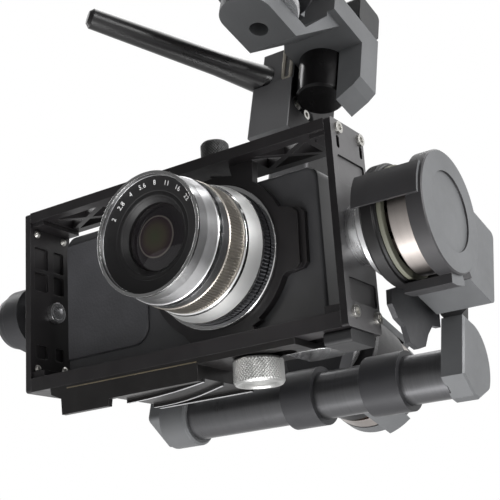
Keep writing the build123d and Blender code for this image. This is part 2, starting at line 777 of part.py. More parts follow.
with BuildPart() as cage_top_plate:
    add(block(CAGE, (-INNER_X, 0, CAGE_TOP - TOP_T), (INNER_X, CAGE_D, CAGE_TOP)).part)
    for x in (-INNER_X, INNER_X - END_BLOCK):
        low = (x, 1, CAGE_TOP - TOP_T - 2)
        add(block(CAGE, low, (x + END_BLOCK, CAGE_D - 1, CAGE_TOP - TOP_T)).part)
    for x, y, w, d in BAYS:
        with BuildSketch(level(CAGE * Location((x, y, 0)), CAGE_TOP)):
            Rectangle(w, d)
            slope = math.degrees(math.atan2(d, w))
            for turn in (slope, -slope):
                Rectangle(2 * w, 2.4, rotation=turn, mode=Mode.SUBTRACT)
        extrude(amount=-TOP_T, mode=Mode.SUBTRACT)
    add(plate_bore(70, 3.5, CAGE_TOP, 1.6, TOP_T + 3), mode=Mode.SUBTRACT)
    add(plate_bore(*KNOB_AT, CAGE_TOP, KNOB_STEM_R + RUN, TOP_T), mode=Mode.SUBTRACT)
    add(screw_bores(CHEEK_T + END_BLOCK), mode=Mode.SUBTRACT)
cage_top_plate.part.label = "cage_top_plate"
export_step(cage_top_plate.part, "parts/cage_top_plate.step")

with BuildPart() as cage_bottom_plate:
    floor = CAGE_BOTTOM + BOTTOM_T
    add(block(CAGE, (-INNER_X, 0, CAGE_BOTTOM), (INNER_X, CAGE_D, floor)).part)
    add(block(CAGE, (-INNER_X, 0, floor), (INNER_X, 3, floor + 1)).part)
    for x in (-INNER_X, INNER_X - END_BLOCK):
        add(block(CAGE, (x, 1, floor), (x + END_BLOCK, CAGE_D - 1, floor + 4)).part)
    with BuildSketch(level(CAGE * Location((THUMB_AT[0] + 22, THUMB_AT[1] + 3, 0)), floor)):
        SlotOverall(22, 6)
    extrude(amount=-BOTTOM_T, mode=Mode.SUBTRACT)
    add(plate_bore(*THUMB_AT, floor, THUMB_STEM_R + RUN, BOTTOM_T), mode=Mode.SUBTRACT)
    add(screw_bores(CHEEK_T + END_BLOCK), mode=Mode.SUBTRACT)
cage_bottom_plate.part.label = "cage_bottom_plate"
export_step(cage_bottom_plate.part, "parts/cage_bottom_plate.step")


def cheek(x):
    """Side plate of the cage, lying from x to x plus its thickness."""
    with BuildPart() as plate:
        with BuildSketch(side(CAGE, x)):
            with Locations((CAGE_D / 2, (CAGE_TOP + CAGE_BOTTOM) / 2)):
                RectangleRounded(CAGE_D, CAGE_TOP - CAGE_BOTTOM, 1.2)
        extrude(amount=CHEEK_T)
        add(screw_bores(CHEEK_T), mode=Mode.SUBTRACT)
    return plate


def pocket(face, y, z, w, h, depth, rounding):
    """Cutter for a rounded pocket in a cheek. The sign of depth says which way it cuts."""
    with BuildPart() as cutter:
        with BuildSketch(side(CAGE * Location((0, y, z)), face)):
            RectangleRounded(w, h, rounding)
        extrude(amount=depth)
    return cutter.part


PIVOT_SEAT_R = 3.0
with BuildPart() as left_cheek:
    add(cheek(-CAGE_W / 2).part)
    for y, w in ((6.8, 8.6), (17.8, 6.6)):
        for z, h in ((20.5, 10), (9.5, 8.6)):
            add(pocket(-INNER_X, y, z, w, h, -1.2, 1), mode=Mode.SUBTRACT)
        add(pocket(-INNER_X, y, -22.4, w - 1.4, 6, -0.8, 1), mode=Mode.SUBTRACT)
    with BuildSketch(side(CAGE * Location((0, CAGE_AXIS_Y, CAGE_AXIS_Z)), -INNER_X)):
        Circle(PIVOT_SEAT_R)
    extrude(amount=-CHEEK_T, mode=Mode.SUBTRACT)
left_cheek.part.label = "left_cheek"
export_step(left_cheek.part, "parts/left_cheek.step")

with BuildPart() as right_cheek:
    add(cheek(INNER_X).part)
    for y, z in ((4.6, 31.3), (22.6, 32.0)):
        add(pocket(CAGE_W / 2, y, z, 2.2, 5.2, -CHEEK_T, 1.05), mode=Mode.SUBTRACT)
    add(pocket(CAGE_W / 2, 13.5, 20.5, 20.5, 11, -0.9, 1.2), mode=Mode.SUBTRACT)
    add(pocket(CAGE_W / 2, 13.5, -26.5, 20.5, 9, -0.9, 1.2), mode=Mode.SUBTRACT)
right_cheek.part.label = "right_cheek"
export_step(right_cheek.part, "parts/right_cheek.step")

STUDS = [(4.2, 31.5), (21, 31.5), (4.2, -30.2), (21, -29)]
STUD_R = 1.75
with BuildPart() as cage_screws:
    for y, z in STUDS:
        stud_place = side(CAGE * Location((0, y, z)), -INNER_X)
        add(turned(stud_place, [(0, 0), (STUD_R, 0), (STUD_R, 0.3), (1.2, 1.0), (0, 1.3)]).part)
    for y, z in CHEEK_SCREWS:
        right_spot = side(CAGE * Location((0, y, z)), CAGE_W / 2)
        left_spot = Plane(
            right_spot.origin + right_spot.z_dir * -CAGE_W, right_spot.x_dir, right_spot.z_dir * -1
        )
        for place in (right_spot, left_spot):
            add(cap_screw(place, 2.4, 1.2, SCREW_R, CHEEK_T + END_BLOCK - 1))
cage_screws.part.label = "cage_screws"
export_step(cage_screws.part, "parts/cage_screws.step")

LENS_PLACE = within(CAGE, Plane(origin=(LENS_X, 0, LENS_Z), x_dir=(1, 0, 0), z_dir=(0, 1, 0)))
BRACE_R = 33.8
BRACE_FRONT, BRACE_STEP, BRACE_BACK = 7.0, 8.4, CAM_FRONT - 0.02
TAB_STEP = 2.4
BRACE_FOOT = [
    (4, CAM_BOTTOM), (4, -32.7), (-0.6, -27), (-8, -20.2), (LENS_X, LENS_Z), (38, -29.8),
    (34.4, -31.4), (37, CAM_BOTTOM),
]
BRACE_HEAD = [(28, CAGE_TOP - TOP_T), (29.2, 30.9), (29.2, 26), (38.7, 22), (39.4, CAGE_TOP - TOP_T)]
with BuildPart() as lens_brace:
    for back, front_y, reach in (
        (BRACE_BACK, BRACE_STEP, TAB_STEP), (BRACE_STEP, BRACE_FRONT, 0)
    ):
        tab = [
            (LENS_X, LENS_Z), (50, 13.5), (55.8 + reach, 11.7), (58.3 + reach, 9.4),
            (57.8 + reach, -11), (55.9 + reach, -12.9), (51.3, -13.5), (48.9, -15),
        ]
        with BuildSketch(front(CAGE, back)):
            with Locations((LENS_X, LENS_Z)):
                Circle(BRACE_R)
            for outline in (BRACE_FOOT, BRACE_HEAD, tab):
                Polygon(*outline, align=None)
            with Locations((LENS_X, LENS_Z)):
                Circle(LENS_FLANGE_R + 0.1, mode=Mode.SUBTRACT)
        extrude(amount=back - front_y)
lens_brace.part.label = "lens_brace"
export_step(lens_brace.part, "parts/lens_brace.step")

TRAY_X = (-36.0, 12.3)
TRAY_BACK = 38.0
TRAY_FLOOR = -50.2
LIP_BOTTOM = -53.2
LIP_T = 2.5
TONGUE_Z = -43.6
RIB_W = 1.3
GROOVE_DEPTH = 1.4
GROOVE_ENDS = [
    [(TRAY_X[0], 14.7), (-20, 13.2), (-2, 8.6), (TRAY_X[1], 3.2)],
    [(TRAY_X[0], 32.3), (-24, 31.8), (-6, 25.6), (TRAY_X[1], 15.8)],
    [(TRAY_X[0], TRAY_BACK - 2), (TRAY_X[1], TRAY_BACK - 2)],
]
GROOVE_STARTS = [
    [(TRAY_X[0], LIP_T), (TRAY_X[1], LIP_T)],
    *[[(x, y + RIB_W) for x, y in curve] for curve in GROOVE_ENDS[:2]],
]
with BuildPart() as accessory_tray:
    with BuildSketch(front(CAGE, LIP_T)):
        Polygon(
            (-65.7, CAGE_BOTTOM), (-65.2, -43.9), (-59.5, -46.4), (-59, LIP_BOTTOM),
            (-33.6, LIP_BOTTOM), (-33.2, TRAY_FLOOR), (TRAY_X[1], TRAY_FLOOR),
            (TRAY_X[1], CAGE_BOTTOM), align=None,
        )
    extrude(amount=LIP_T)
    low, high = (TRAY_X[0], 0, TRAY_FLOOR), (TRAY_X[1], TRAY_BACK, CAGE_BOTTOM)
    add(block(CAGE, low, high).part)
    add(block(CAGE, (TRAY_X[1], 0, TONGUE_Z), (57, CAGE_D - 2, CAGE_BOTTOM)).part)
    for near_edge, far_edge in zip(GROOVE_STARTS, GROOVE_ENDS):
        with BuildSketch(level(CAGE, TRAY_FLOOR)):
            with BuildLine():
                near_curve = Spline(*near_edge)
                far_curve = Spline(*far_edge)
                Line(near_curve @ 0, far_curve @ 0)
                Line(near_curve @ 1, far_curve @ 1)
            make_face()
        extrude(amount=GROOVE_DEPTH, mode=Mode.SUBTRACT)
    with BuildSketch(level(CAGE * Location((THUMB_AT[0] + 4, THUMB_AT[1], 0)), CAGE_BOTTOM)):
        SlotOverall(26, 2 * THUMB_STEM_R + 0.8)
    extrude(amount=TONGUE_Z - CAGE_BOTTOM, mode=Mode.SUBTRACT)
accessory_tray.part.label = "accessory_tray"
export_step(accessory_tray.part, "parts/accessory_tray.step")

imu_module = block(CAGE, (67.5, 3, -46), (79, 21, CAGE_BOTTOM), 1.5, Axis.X)
imu_module.part.label = "imu_module"
export_step(imu_module.part, "parts/imu_module.step")

with BuildPart() as left_pivot:
    cheek_face = (CAGE_X - CAGE_W / 2, 0, 0)
    pivot_place = within(GIMBAL, Plane(origin=cheek_face, x_dir=(0, 1, 0), z_dir=(-1, 0, 0)))
    seat_r = PIVOT_SEAT_R - SNUG
    profile = [
        (0, -4.2), (3.2, -4.2), (3.2, -5.2), (4.6, -5.2), (4.6, -CHEEK_T), (seat_r, -CHEEK_T),
        (seat_r, 0), (9, 0), (9, 3), (8.4, 3.6), (PIVOT_R, 3.6), (PIVOT_R, 22.8), (0, 22.8),
    ]
    add(turned(pivot_place, profile).part)
left_pivot.part.label = "left_pivot"
export_step(left_pivot.part, "parts/left_pivot.step")

# ---- thumb screw under the cage, knob on top ----

thumb_screw = turned(
    level(CAGE * Location((*THUMB_AT, 0)), TONGUE_Z - 0.4),
    [
        (0, -8), (7, -8), (7.6, -10), (9.4, -10), (10, -9.4), (10, -0.8), (9.4, 0),
        (THUMB_STEM_R, 0), (THUMB_STEM_R, 7.4), (0, 7.4),
    ],
)
thumb_screw.part.label = "thumb_screw"
export_step(thumb_screw.part, "parts/thumb_screw.step")

top_knob = turned(
    level(CAGE * Location((*KNOB_AT, 0)), CAGE_TOP + 0.4),
    [
        (0, -4.6), (KNOB_STEM_R, -4.6), (KNOB_STEM_R, 0), (5.4, 0), (6, 0.6), (6, 9.0),
        (5.2, 9.8), (0, 9.8),
    ],
)
top_knob.part.label = "top_knob"
export_step(top_knob.part, "parts/top_knob.step")

# ---- camera ----

upright = within(CAGE, Plane.XZ)
CAGE_FORWARD = Axis(upright.origin, upright.z_dir)
BUTTON_AT = (-46.0, 24.0)
BUTTON_R = 3.5
BUTTON_TRAVEL = 1.2
with BuildPart() as camera_body:
    low, high = (CAM_LEFT, CAM_FRONT, CAM_BOTTOM), (CAM_RIGHT, CAM_BACK, CAM_TOP)
    add(block(CAGE, low, high).part)
    fillet(camera_body.edges().filter_by(CAGE_FORWARD), 5)
    fillet(camera_body.faces().sort_by(CAGE_FORWARD)[-1].edges(), 1.5)
    add(plate_bore(*BUTTON_AT, CAM_TOP, BUTTON_R + 0.05, BUTTON_TRAVEL + 3), mode=Mode.SUBTRACT)
camera_body.part.label = "camera_body"
export_step(camera_body.part, "parts/camera_body.step")

GRIP_RIGHT = -19.0
GRIP_Z = (-28.0, 24.0)
GRIP_CORNER = 8.0
with BuildPart() as camera_grip:
    with BuildSketch(front(CAGE, CAM_FRONT - 0.02)):
        left, (low, high), r = CAM_LEFT + 1, GRIP_Z, GRIP_CORNER
        with BuildLine():
            Polyline((GRIP_RIGHT - r, low), (left, low), (left, high), (GRIP_RIGHT, high))
            Line((GRIP_RIGHT, high), (GRIP_RIGHT, low + r))
            RadiusArc((GRIP_RIGHT, low + r), (GRIP_RIGHT - r, low), r)
        make_face()
    extrude(amount=1.2)
    chamfer(camera_grip.faces().sort_by(CAGE_FORWARD)[-1].edges(), 0.5)
camera_grip.part.label = "camera_grip"
export_step(camera_grip.part, "parts/camera_grip.step")

camera_screen = block(CAGE, (-50, CAM_BACK + 0.02, -27), (38, CAM_BACK + 2.4, 21))
camera_screen.part.label = "camera_screen"
export_step(camera_screen.part, "parts/camera_screen.step")

record_button = turned(
    level(CAGE * Location((*BUTTON_AT, 0)), CAM_TOP),
    [
        (0, -2.6), (BUTTON_R, -2.6), (BUTTON_R, 1.1), (BUTTON_R - 0.5, 1.6), (0, 1.6),
    ],
)
record_button.part.label = "record_button"
export_step(record_button.part, "parts/record_button.step")

# ---- lens: turned about its axis, from the filter rim back to the camera ----

BARREL_BORE = 15.0
SLEEVE_R = 23.6
FILTER_R = 22.8
FILTER_STOP = -34.6
NAME_RING_R = 22.66
lens_front_barrel = turned(
    LENS_PLACE,
    [
        (FILTER_R, LENS_FRONT), (FRONT_R, LENS_FRONT), (FRONT_R, -31), (24.7, -25.3),
        (25.0, -25.0), (25.0, -23.8), (24.4, -23.8), (24.4, -23.0), (GREY_RING_R, -23.0),
        (GREY_RING_R, FOCUS_FRONT - 0.15), (SLEEVE_R, FOCUS_FRONT - 0.15),
        (SLEEVE_R, FOCUS_BACK + 0.15), (BARREL_BORE, FOCUS_BACK + 0.15),
        (BARREL_BORE, -32.6), (NAME_RING_R + 0.04, -32.6), (NAME_RING_R + 0.04, FILTER_STOP),
        (FILTER_R, FILTER_STOP),
    ],
)
lens_front_barrel.part.label = "lens_front_barrel"
export_step(lens_front_barrel.part, "parts/lens_front_barrel.step")

name_ring = turned(
    LENS_PLACE,
    [
        (NAME_RING_R, FILTER_STOP), (17.3, -33.4), (17.0, -33.2), (15.6, -33.2), (15.3, -33.0),
        (13.3, -30.9), (13.3, -29.5), (14.98, -29.5), (14.98, -32.62), (NAME_RING_R, -32.62),
    ],
)
name_ring.part.label = "name_ring"
export_step(name_ring.part, "parts/name_ring.step")

with BuildPart() as front_glass:
    with BuildSketch(Plane(LENS_PLACE.origin, x_dir=LENS_PLACE.x_dir, z_dir=-LENS_PLACE.y_dir)):
        with BuildLine():
            ThreePointArc((0, -31.6), (7.5, -30.9), (14.95, -28.8))
            Polyline((14.95, -28.8), (14.95, -24), (0, -24), (0, -31.6))
        make_face()
    revolve(axis=Axis(LENS_PLACE.origin, LENS_PLACE.z_dir))
front_glass.part.label = "front_glass"
export_step(front_glass.part, "parts/front_glass.step")

focus_ring = turned(
    LENS_PLACE,
    [
        (SLEEVE_R + RUN, FOCUS_FRONT), (FOCUS_R - 0.4, FOCUS_FRONT),
        (FOCUS_R, FOCUS_FRONT + 0.5), (FOCUS_R, FOCUS_BACK - 0.5),
        (FOCUS_R - 0.4, FOCUS_BACK), (SLEEVE_R + RUN, FOCUS_BACK),
    ],
)
focus_ring.part.label = "focus_ring"
export_step(focus_ring.part, "parts/focus_ring.step")

REAR_FRONT = FOCUS_BACK + 0.17
lens_rear_barrel = turned(
    LENS_PLACE,
    [
        (BARREL_BORE, REAR_FRONT), (25.6, REAR_FRONT), (26.1, REAR_FRONT + 0.4),
        (26.3, -8.1), (TAPER_R, TAPER_BACK - 0.5), (TAPER_R, TAPER_BACK - 0.02),
        (BARREL_BORE, TAPER_BACK - 0.02),
    ],
)
lens_rear_barrel.part.label = "lens_rear_barrel"
export_step(lens_rear_barrel.part, "parts/lens_rear_barrel.step")

lens_mount_ring = turned(
    LENS_PLACE,
    [
        (BARREL_BORE, TAPER_BACK), (SERRATED_R, TAPER_BACK), (SERRATED_R, 5.0),
        (LENS_MOUNT_R - 0.3, 5.1), (LENS_MOUNT_R, 5.4), (LENS_MOUNT_R, 6.5),
        (LENS_MOUNT_R - 0.4, 6.9), (LENS_FLANGE_R, 6.9), (LENS_FLANGE_R, CAM_FRONT - 0.02),
        (BARREL_BORE, CAM_FRONT - 0.02),
    ],
)
lens_mount_ring.part.label = "lens_mount_ring"
export_step(lens_mount_ring.part, "parts/lens_mount_ring.step")
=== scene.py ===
"""Looks for the three-axis camera gimbal: finishes, knurled rings, lens markings, camera and light.

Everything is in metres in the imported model's frame. Places are worked out from the joints and
from two frames that the parts share: the camera cage, tilted at rest, and the lens axis.
"""

import json
import math

import bmesh
import bpy
from mathutils import Matrix, Vector


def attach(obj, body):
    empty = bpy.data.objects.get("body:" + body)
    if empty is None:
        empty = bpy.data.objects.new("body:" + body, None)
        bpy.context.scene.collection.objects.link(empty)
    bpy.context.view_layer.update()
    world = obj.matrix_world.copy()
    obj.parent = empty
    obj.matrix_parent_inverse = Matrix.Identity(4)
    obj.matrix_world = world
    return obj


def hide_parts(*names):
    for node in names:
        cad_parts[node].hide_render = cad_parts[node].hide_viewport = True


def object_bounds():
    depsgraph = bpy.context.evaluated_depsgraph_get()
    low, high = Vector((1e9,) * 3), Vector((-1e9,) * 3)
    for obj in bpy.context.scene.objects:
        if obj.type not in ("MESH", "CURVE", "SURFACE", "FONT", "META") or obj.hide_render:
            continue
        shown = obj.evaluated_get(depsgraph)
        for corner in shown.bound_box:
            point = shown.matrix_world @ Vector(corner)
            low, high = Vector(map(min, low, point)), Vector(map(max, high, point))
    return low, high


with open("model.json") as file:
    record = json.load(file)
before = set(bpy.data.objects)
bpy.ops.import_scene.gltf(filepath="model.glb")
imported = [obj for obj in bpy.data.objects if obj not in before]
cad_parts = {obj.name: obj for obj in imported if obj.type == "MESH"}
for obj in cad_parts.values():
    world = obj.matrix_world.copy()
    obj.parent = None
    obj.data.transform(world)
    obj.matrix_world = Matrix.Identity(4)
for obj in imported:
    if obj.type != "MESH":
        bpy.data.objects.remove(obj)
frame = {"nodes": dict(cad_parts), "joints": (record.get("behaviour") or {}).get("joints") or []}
cad_low, cad_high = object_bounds()
NODES = frame["nodes"]
JOINTS = {joint["name"]: joint for joint in frame["joints"]}
MM = 0.001

# ---- shared frames ----

REST_TILT = math.radians(16)
CAGE_X = -20.0                     # middle of the cage, from the pan axis
CAGE_FROM_AXIS = (0, -15.1, 3.5)   # the cage's own origin, from the tilt axis
LENS_AT = (19.0, 0, -0.5)          # lens axis in the cage
TUBE_AT = (0, 62.0, -32.0)         # cross tube, from the tilt axis
QUARTER = math.pi / 2
TILT_AXIS = Vector(JOINTS["tilt"]["pos_m"])


def shifted(x, y, z):
    """A move given in millimetres."""
    return Matrix.Translation((x * MM, y * MM, z * MM))


HUB = Matrix.Translation(TILT_AXIS)
CAGE = HUB @ shifted(CAGE_X, 0, 0) @ Matrix.Rotation(REST_TILT, 4, "X") @ shifted(*CAGE_FROM_AXIS)
# Local +Z runs along the lens from its front rim towards the camera.
LENS = CAGE @ shifted(*LENS_AT) @ Matrix.Rotation(-QUARTER, 4, "X")
# Local +Z runs along each motor, away from the part that it turns.
TILT_MOTOR = HUB @ Matrix.Rotation(QUARTER, 4, "Y")
ROLL_MOTOR = HUB @ Matrix.Rotation(-QUARTER, 4, "X")
PAN_MOTOR = Matrix.Identity(4)
TUBE = HUB @ shifted(*TUBE_AT) @ Matrix.Rotation(QUARTER, 4, "Y")
MODEL = Matrix.Identity(4)

# ======================================================================================
# Materials
# ======================================================================================


class Look:
    """A Principled material and short calls for the nodes that feed it."""

    def __init__(self, name, **sockets):
        self.material = bpy.data.materials.new(name)
        self.material.use_nodes = True
        self.tree = self.material.node_tree
        self.shader = self.tree.nodes["Principled BSDF"]
        self.feed(**sockets)

    def feed(self, **sockets):
        """Sets or links the shader's own sockets."""
        for key, value in sockets.items():
            self.plug(self.shader.inputs[key.replace("_", " ")], value)

    def plug(self, socket, value):
        if isinstance(value, bpy.types.NodeSocket):
            self.tree.links.new(value, socket)
        else:
            socket.default_value = value

    def node(self, kind, settings=None, **inputs):
        """Adds a node and returns it. An input named i0, i1... is picked by its place."""
        made = self.tree.nodes.new("ShaderNode" + kind)
        for key, value in (settings or {}).items():
            setattr(made, key, value)
        for key, value in inputs.items():
            by_place = key[0] == "i" and key[1:].isdigit()
            socket = made.inputs[int(key[1:])] if by_place else made.inputs[key.replace("_", " ")]
            self.plug(socket, value)
        return made

    def math(self, operation, *values):
        inputs = {f"i{k}": value for k, value in enumerate(values)}
        return self.node("Math", {"operation": operation}, **inputs).outputs[0]

    def place(self, space=MODEL):
        """Position in a local frame, in metres, which stays with the part when it moves."""
        here = self.node("TexCoord").outputs["Object"]
        location, rotation, _ = space.decompose()
        return self.node(
            "Mapping", {"vector_type": "TEXTURE"},
            Vector=here, Location=location, Rotation=rotation.to_euler(),
        ).outputs[0]

    def noise(self, scale, detail=3.0, where=None, roughness=0.55):
        vector = self.place() if where is None else where
        return self.node(
            "TexNoise", Vector=vector, Scale=scale, Detail=detail, Roughness=roughness
        ).outputs["Fac"]

    def stretch(self, value, low, high, to_low=0.0, to_high=1.0):
        """Maps low..high to to_low..to_high, and clamps."""
        return self.node(
            "MapRange", Value=value, From_Min=low, From_Max=high, To_Min=to_low, To_Max=to_high
        ).outputs[0]

    def mix(self, share, first, second):
        return self.node(
            "Mix", {"data_type": "RGBA"}, i0=share, i6=rgba(first), i7=rgba(second)
        ).outputs[2]

    def rounded(self, radius):
        """Shading normal with the sharp edges rounded."""
        return self.node("Bevel", {"samples": 4}, Radius=radius).outputs[0]

    def edges(self, radius):
        """1 along sharp edges and 0 on faces."""
        soft = self.rounded(radius)
        hard = self.node("NewGeometry").outputs["Normal"]
        agree = self.node("VectorMath", {"operation": "DOT_PRODUCT"}, i0=soft, i1=hard)
        return self.stretch(agree.outputs["Value"], 0.995, 0.86)

    def bump(self, height, depth, normal=None, strength=1.0):
        inputs = {"Height": height, "Distance": depth, "Strength": strength}
        if normal is not None:
            inputs["Normal"] = normal
        return self.node("Bump", **inputs).outputs[0]

    def round_axis(self, space):
        """Height along a frame's Z axis and distance from it."""
        parts = self.node("SeparateXYZ", Vector=self.place(space))
        squares = [self.math("POWER", parts.outputs[k], 2.0) for k in range(2)]
        return parts.outputs[2], self.math("SQRT", self.math("ADD", *squares))

    def rings(self, space, pitch):
        """Fine turning lines round a frame's Z axis, as a value that varies along and across it."""
        along_z, across = self.round_axis(space)
        line = self.math("MULTIPLY", self.math("ADD", along_z, across), 1 / pitch)
        along = self.node("CombineXYZ", X=line, Y=self.math("MULTIPLY", across, 40.0), Z=0.0)
        return self.noise(1.0, 2.0, along.outputs[0])

    def facing(self, way):
        """1 on the faces that point one way in the part's own frame, 0 on the others."""
        own = self.node("TexCoord").outputs["Normal"]
        agree = self.node("VectorMath", {"operation": "DOT_PRODUCT"}, i0=own, i1=tuple(way))
        return self.stretch(agree.outputs["Value"], 0.7, 0.9)

    def beyond(self, space, axis, start, end):
        """Goes from 0 at start to 1 at end along one axis of a frame, in millimetres."""
        parts = self.node("SeparateXYZ", Vector=self.place(space))
        return self.stretch(parts.outputs[axis], start * MM, end * MM)

    def bands(self, space, stops, reach):
        """Colour by distance along a frame's Z. Each stop is (start in mm, value)."""
        parts = self.node("SeparateXYZ", Vector=self.place(space))
        share = self.stretch(parts.outputs[2], reach[0] * MM, reach[1] * MM)
        ramp = self.node("ValToRGB", Fac=share)
        ramp.color_ramp.interpolation = "CONSTANT"
        strip = ramp.color_ramp.elements
        while len(strip) < len(stops):
            strip.new(0.5)
        for element, (start, value) in zip(strip, stops):
            element.position = max(0.0, (start - reach[0]) / (reach[1] - reach[0]))
            element.color = rgba(value)
        return ramp.outputs[0]


def rgba(colour):
    """Four channels from a socket, a grey value or three channels."""
    if isinstance(colour, bpy.types.NodeSocket):
        return colour
    if isinstance(colour, (int, float)):
        colour = (colour, colour, colour)
    return (*colour, 1.0) if len(colour) == 3 else tuple(colour)


def scaled(colour, factor):
    return tuple(min(1.0, channel * factor) for channel in colour)


FINE_EDGE = 0.25 * MM


def anodised(
    name, colour, rough=0.42, metallic=0.35, wear=0.35, blast=0.012, edge=FINE_EDGE, painted_shading=None
):
    """Bead-blasted, anodised aluminium: a fine even grain, slight mottling, brighter worn edges.

    painted_shading is a second colour and a function of the look that says where it goes: painted
    light or shade, by which way the faces point.
    """
    look = Look(name, Metallic=metallic, IOR=1.5)
    grain = look.noise(5200.0, 2.0)
    cloud = look.noise(38.0, 4.0)
    smear = look.noise(150.0, 3.0)
    base = look.mix(look.stretch(cloud, 0.3, 0.7), scaled(colour, 0.88), scaled(colour, 1.1))
    # Painted light and shade: a second colour on the faces that the mask picks, standing in for
    # lighting.
    if painted_shading:
        second, where = painted_shading
        tone = look.mix(look.stretch(cloud, 0.3, 0.7), scaled(second, 0.88), scaled(second, 1.1))
        base = look.mix(where(look), base, tone)
    bright = tuple(0.55 * channel + 0.22 for channel in colour)
    worn = look.stretch(look.noise(420.0), 0.42, 0.72, 0, wear)
    chips = look.math("MULTIPLY", look.edges(edge), worn)
    look.feed(
        Base_Color=look.mix(chips, base, bright),
        Roughness=look.math(
            "ADD", look.stretch(smear, 0.3, 0.7, rough - 0.05, rough + 0.06),
            look.math("MULTIPLY", grain, 0.05),
        ),
        Normal=look.bump(grain, blast * MM, look.rounded(edge)),
    )
    return look.material


def turned(name, colour, space, rough=0.25, metallic=1.0, pitch=0.09, depth=0.004, edge=FINE_EDGE):
    """Lathe-turned metal: fine rings round its axis, faint streaks and polished edges."""
    look = Look(name, Metallic=metallic)
    lines = look.rings(space, pitch * MM)
    smear = look.noise(90.0, 3.0)
    base = look.mix(look.stretch(lines, 0.3, 0.7), scaled(colour, 0.9), scaled(colour, 1.08))
    look.feed(
        Base_Color=base,
        Roughness=look.math(
            "ADD", look.stretch(lines, 0.3, 0.7, rough - 0.04, rough + 0.05),
            look.stretch(smear, 0.35, 0.7, 0, 0.06),
        ),
        Normal=look.bump(lines, depth * MM, look.rounded(edge)),
    )
    return look.material


def moulded(name, colour, rough=0.5, grain=1400.0, depth=0.03, edge=FINE_EDGE, coat=0.0):
    """Moulded plastic or rubber: a spark-eroded grain with smoother patches where it is handled."""
    look = Look(name, Coat_Weight=coat, Coat_Roughness=0.1)
    cells = look.node("TexVoronoi", Vector=look.place(), Scale=grain).outputs["Distance"]
    cloud = look.noise(45.0, 4.0)
    base = look.mix(look.stretch(cloud, 0.3, 0.72), scaled(colour, 0.85), scaled(colour, 1.18))
    look.feed(
        Base_Color=base,
        Roughness=look.stretch(cloud, 0.3, 0.7, rough - 0.07, rough + 0.07),
        Normal=look.bump(cells, depth * MM, look.rounded(edge)),
    )
    return look.material


def barrel(name, stops, reach):
    """Turned lens metal with bands along its axis. Each stop is (start, colour, roughness)."""
    look = Look(name, Metallic=1.0)
    colours = look.bands(LENS, [(start, colour) for start, colour, _ in stops], reach)
    roughs = look.bands(LENS, [(start, rough) for start, _, rough in stops], reach)
    lines = look.rings(LENS, 0.08 * MM)
    tone = look.mix(look.stretch(lines, 0.3, 0.7), 0.93, 1.0)
    base = look.node(
        "Mix", {"data_type": "RGBA", "blend_type": "MULTIPLY"}, i0=1.0, i6=colours, i7=tone
    )
    look.feed(
        Base_Color=base.outputs[2],
        Roughness=look.math("ADD", roughs, look.stretch(lines, 0.3, 0.7, -0.02, 0.03)),
        Normal=look.bump(lines, 0.002 * MM, look.rounded(0.15 * MM)),
    )
    return look.material


def coated_glass(name):
    """Dark multi-coated front element: rings of deeper elements show through it by radius."""
    look = Look(name, Metallic=0.0, Roughness=0.04, IOR=1.45, Coat_Weight=0.1, Coat_Roughness=0.02)
    _, radius = look.round_axis(LENS)
    ramp = look.node("ValToRGB", Fac=look.stretch(radius, 0.0, 15 * MM))
    steps = [
        (0.0, (0.03, 0.035, 0.02)), (0.3, (0.035, 0.03, 0.022)), (0.5, (0.02, 0.012, 0.016)),
        (0.53, (0.11, 0.10, 0.09)), (0.56, (0.012, 0.01, 0.012)), (0.8, (0.02, 0.018, 0.02)),
        (0.97, (0.05, 0.045, 0.045)), (1.0, (0.01, 0.01, 0.01)),
    ]
    strip = ramp.color_ramp.elements
    while len(strip) < len(steps):
        strip.new(0.5)
    for element, (at, colour) in zip(strip, steps):
        element.position = at
        element.color = rgba(colour)
    dust = look.stretch(look.noise(900.0, 4.0), 0.62, 0.8, 0, 0.05)
    look.feed(
        Base_Color=ramp.outputs[0],
        Roughness=look.math("ADD", dust, 0.03),
        Normal=look.bump(look.noise(60.0), 0.002 * MM),
    )
    return look.material


def windings(name, dark, light):
    """Wire wound round steel teeth, from a dark and a light colour."""
    look = Look(name, Metallic=0.9)
    turns = look.node("TexWave", Vector=look.place(), Scale=900.0, Distortion=1.5)
    look.feed(
        Base_Color=look.mix(turns.outputs["Fac"], dark, light),
        Roughness=look.stretch(turns.outputs["Fac"], 0, 1, 0.5, 0.28),
        Normal=look.bump(turns.outputs["Fac"], 0.08 * MM),
    )
    return look.material


BLACK = (0.015, 0.0135, 0.0145)
DEEP_BLACK = (0.008, 0.0075, 0.008)
CAGE_DOWN = (0.0, math.sin(REST_TILT), -math.cos(REST_TILT))
# The next two bound the painted highlight on the tray's ribs.
TRAY_FLOOR = (-49.7, -49.9)        # heights in the cage between which the tray's ribs begin
TRAY_LIP = (2.4, 2.7)              # depths in the cage between which its front lip ends


def painted_shading_side(look):
    """Where a part's faces point to +X: the mask for painted light or shade on that side."""
    return look.facing((1, 0, 0))


def tray_rib_painted_highlight(look):
    """Painted highlight: where the tray's ribs face down, behind its front lip, they take a pale
    colour.
    """
    under = look.beyond(CAGE, 2, *TRAY_FLOOR)
    inside = look.beyond(CAGE, 1, *TRAY_LIP)
    return look.math("MULTIPLY", look.facing(CAGE_DOWN), look.math("MULTIPLY", under, inside))


CHARCOAL = (0.035, 0.035, 0.038)
GREY = (0.115, 0.118, 0.122)

